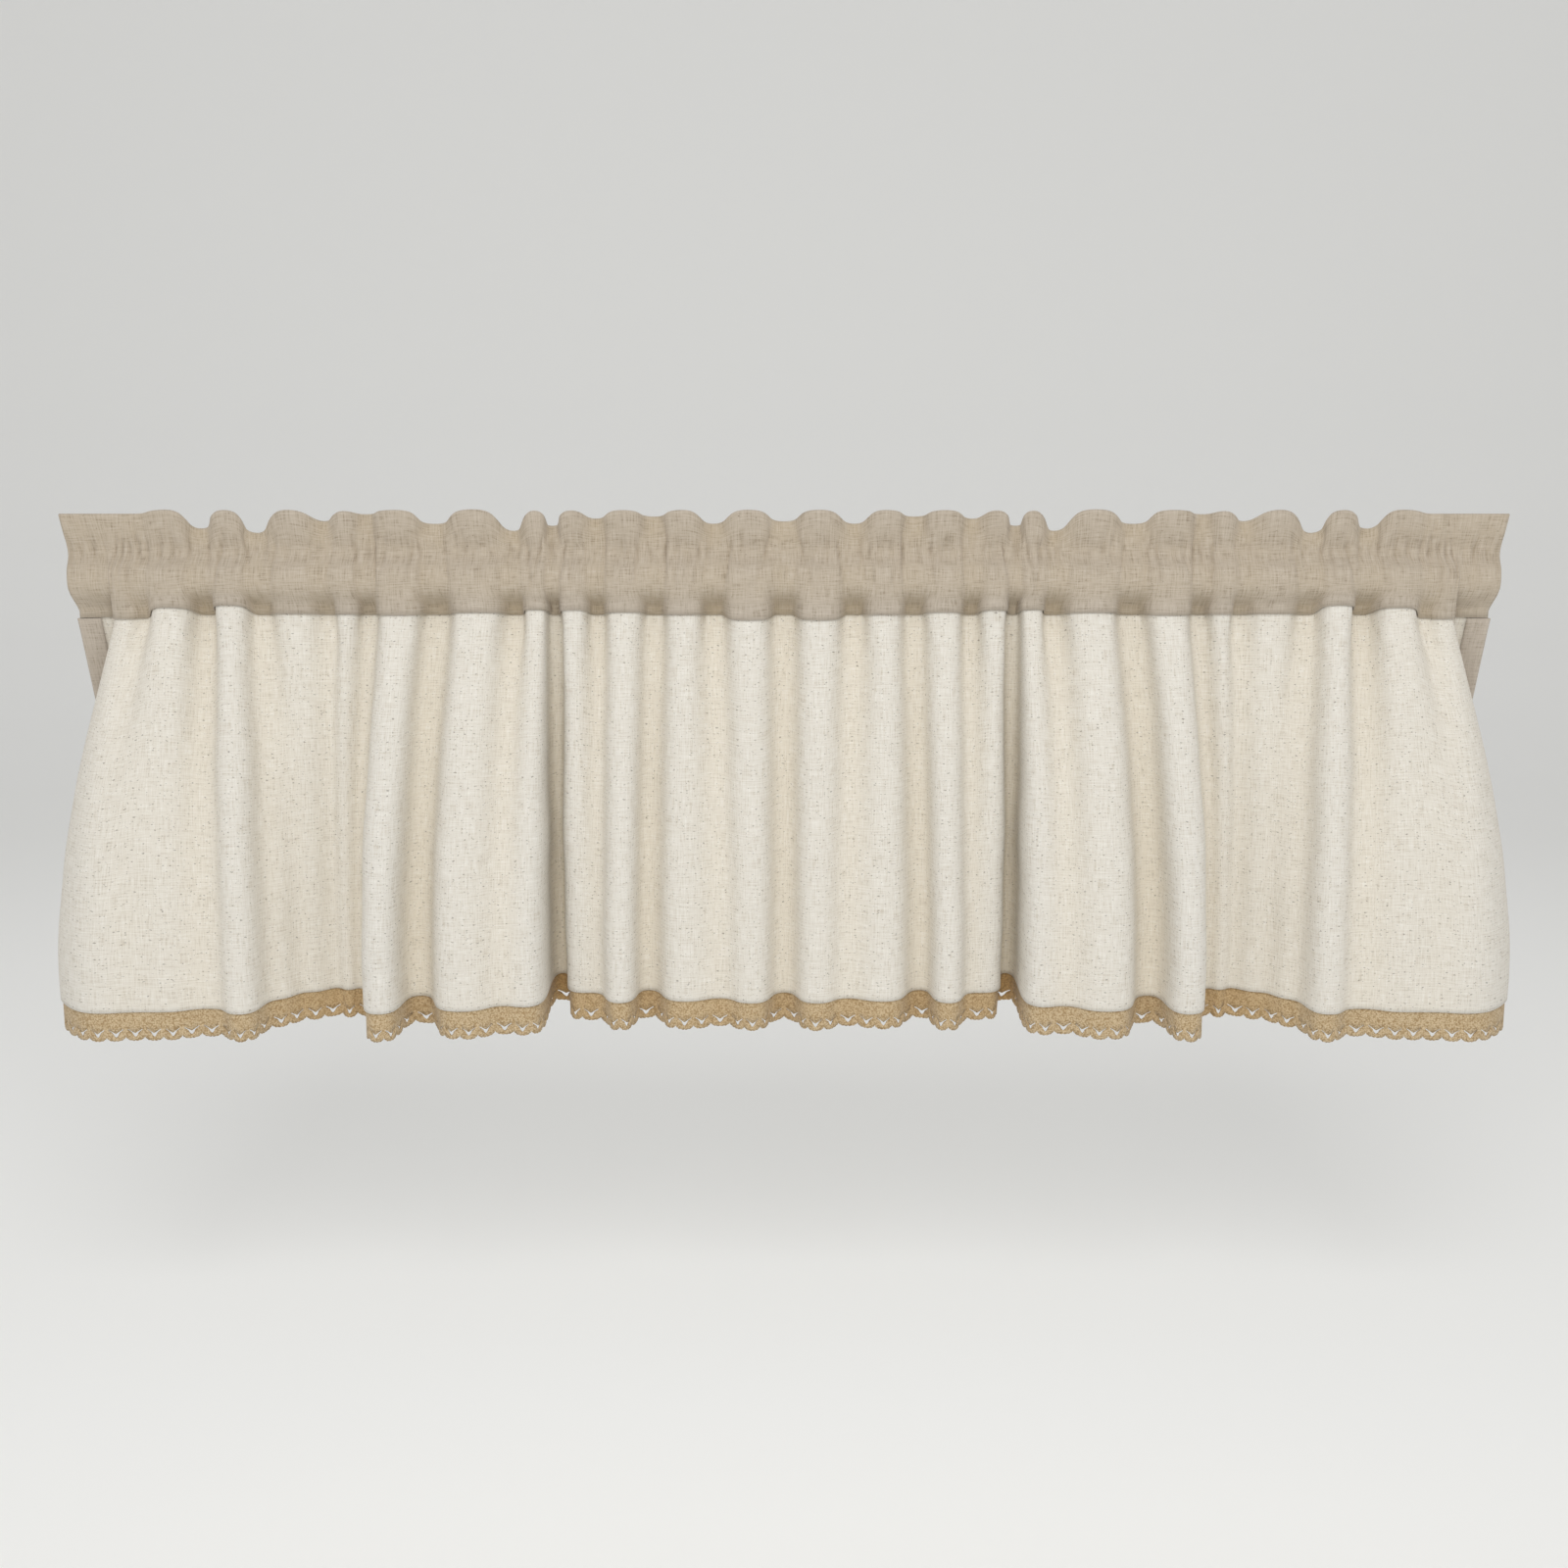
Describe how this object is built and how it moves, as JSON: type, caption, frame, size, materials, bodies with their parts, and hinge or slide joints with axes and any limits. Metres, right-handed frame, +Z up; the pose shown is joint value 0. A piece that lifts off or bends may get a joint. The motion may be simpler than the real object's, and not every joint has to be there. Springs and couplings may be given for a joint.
{
  "type": "cafe curtain",
  "caption": "Short gathered linen cafe curtain with a ruffled rod-pocket heading, side bands and a scalloped lace edge, hanging in soft folds.",
  "frame": {"origin": "middle of the top edge of the frill, between its two layers, where the curtain hangs", "axes": "+X along the rod towards the curtain's right end as seen from the front, +Y to the back, towards the window, +Z up"},
  "size_m": [1.2714, 0.1125, 0.4497],
  "materials": {
    "taupe_linen": "plain-woven taupe linen, matt, slubbed",
    "cream_linen": "cream cotton and linen cloth, matt, slubbed, with small dark flecks",
    "cotton_lace": "tan cotton crochet-style lace with a pointed, looped edge"
  },
  "bodies": {
    "root": {"heading": "taupe_linen", "panel": "cream_linen", "side_band_left": "taupe_linen", "side_band_right": "taupe_linen", "lace_edge": "cotton_lace"}
  },
  "joints": []
}
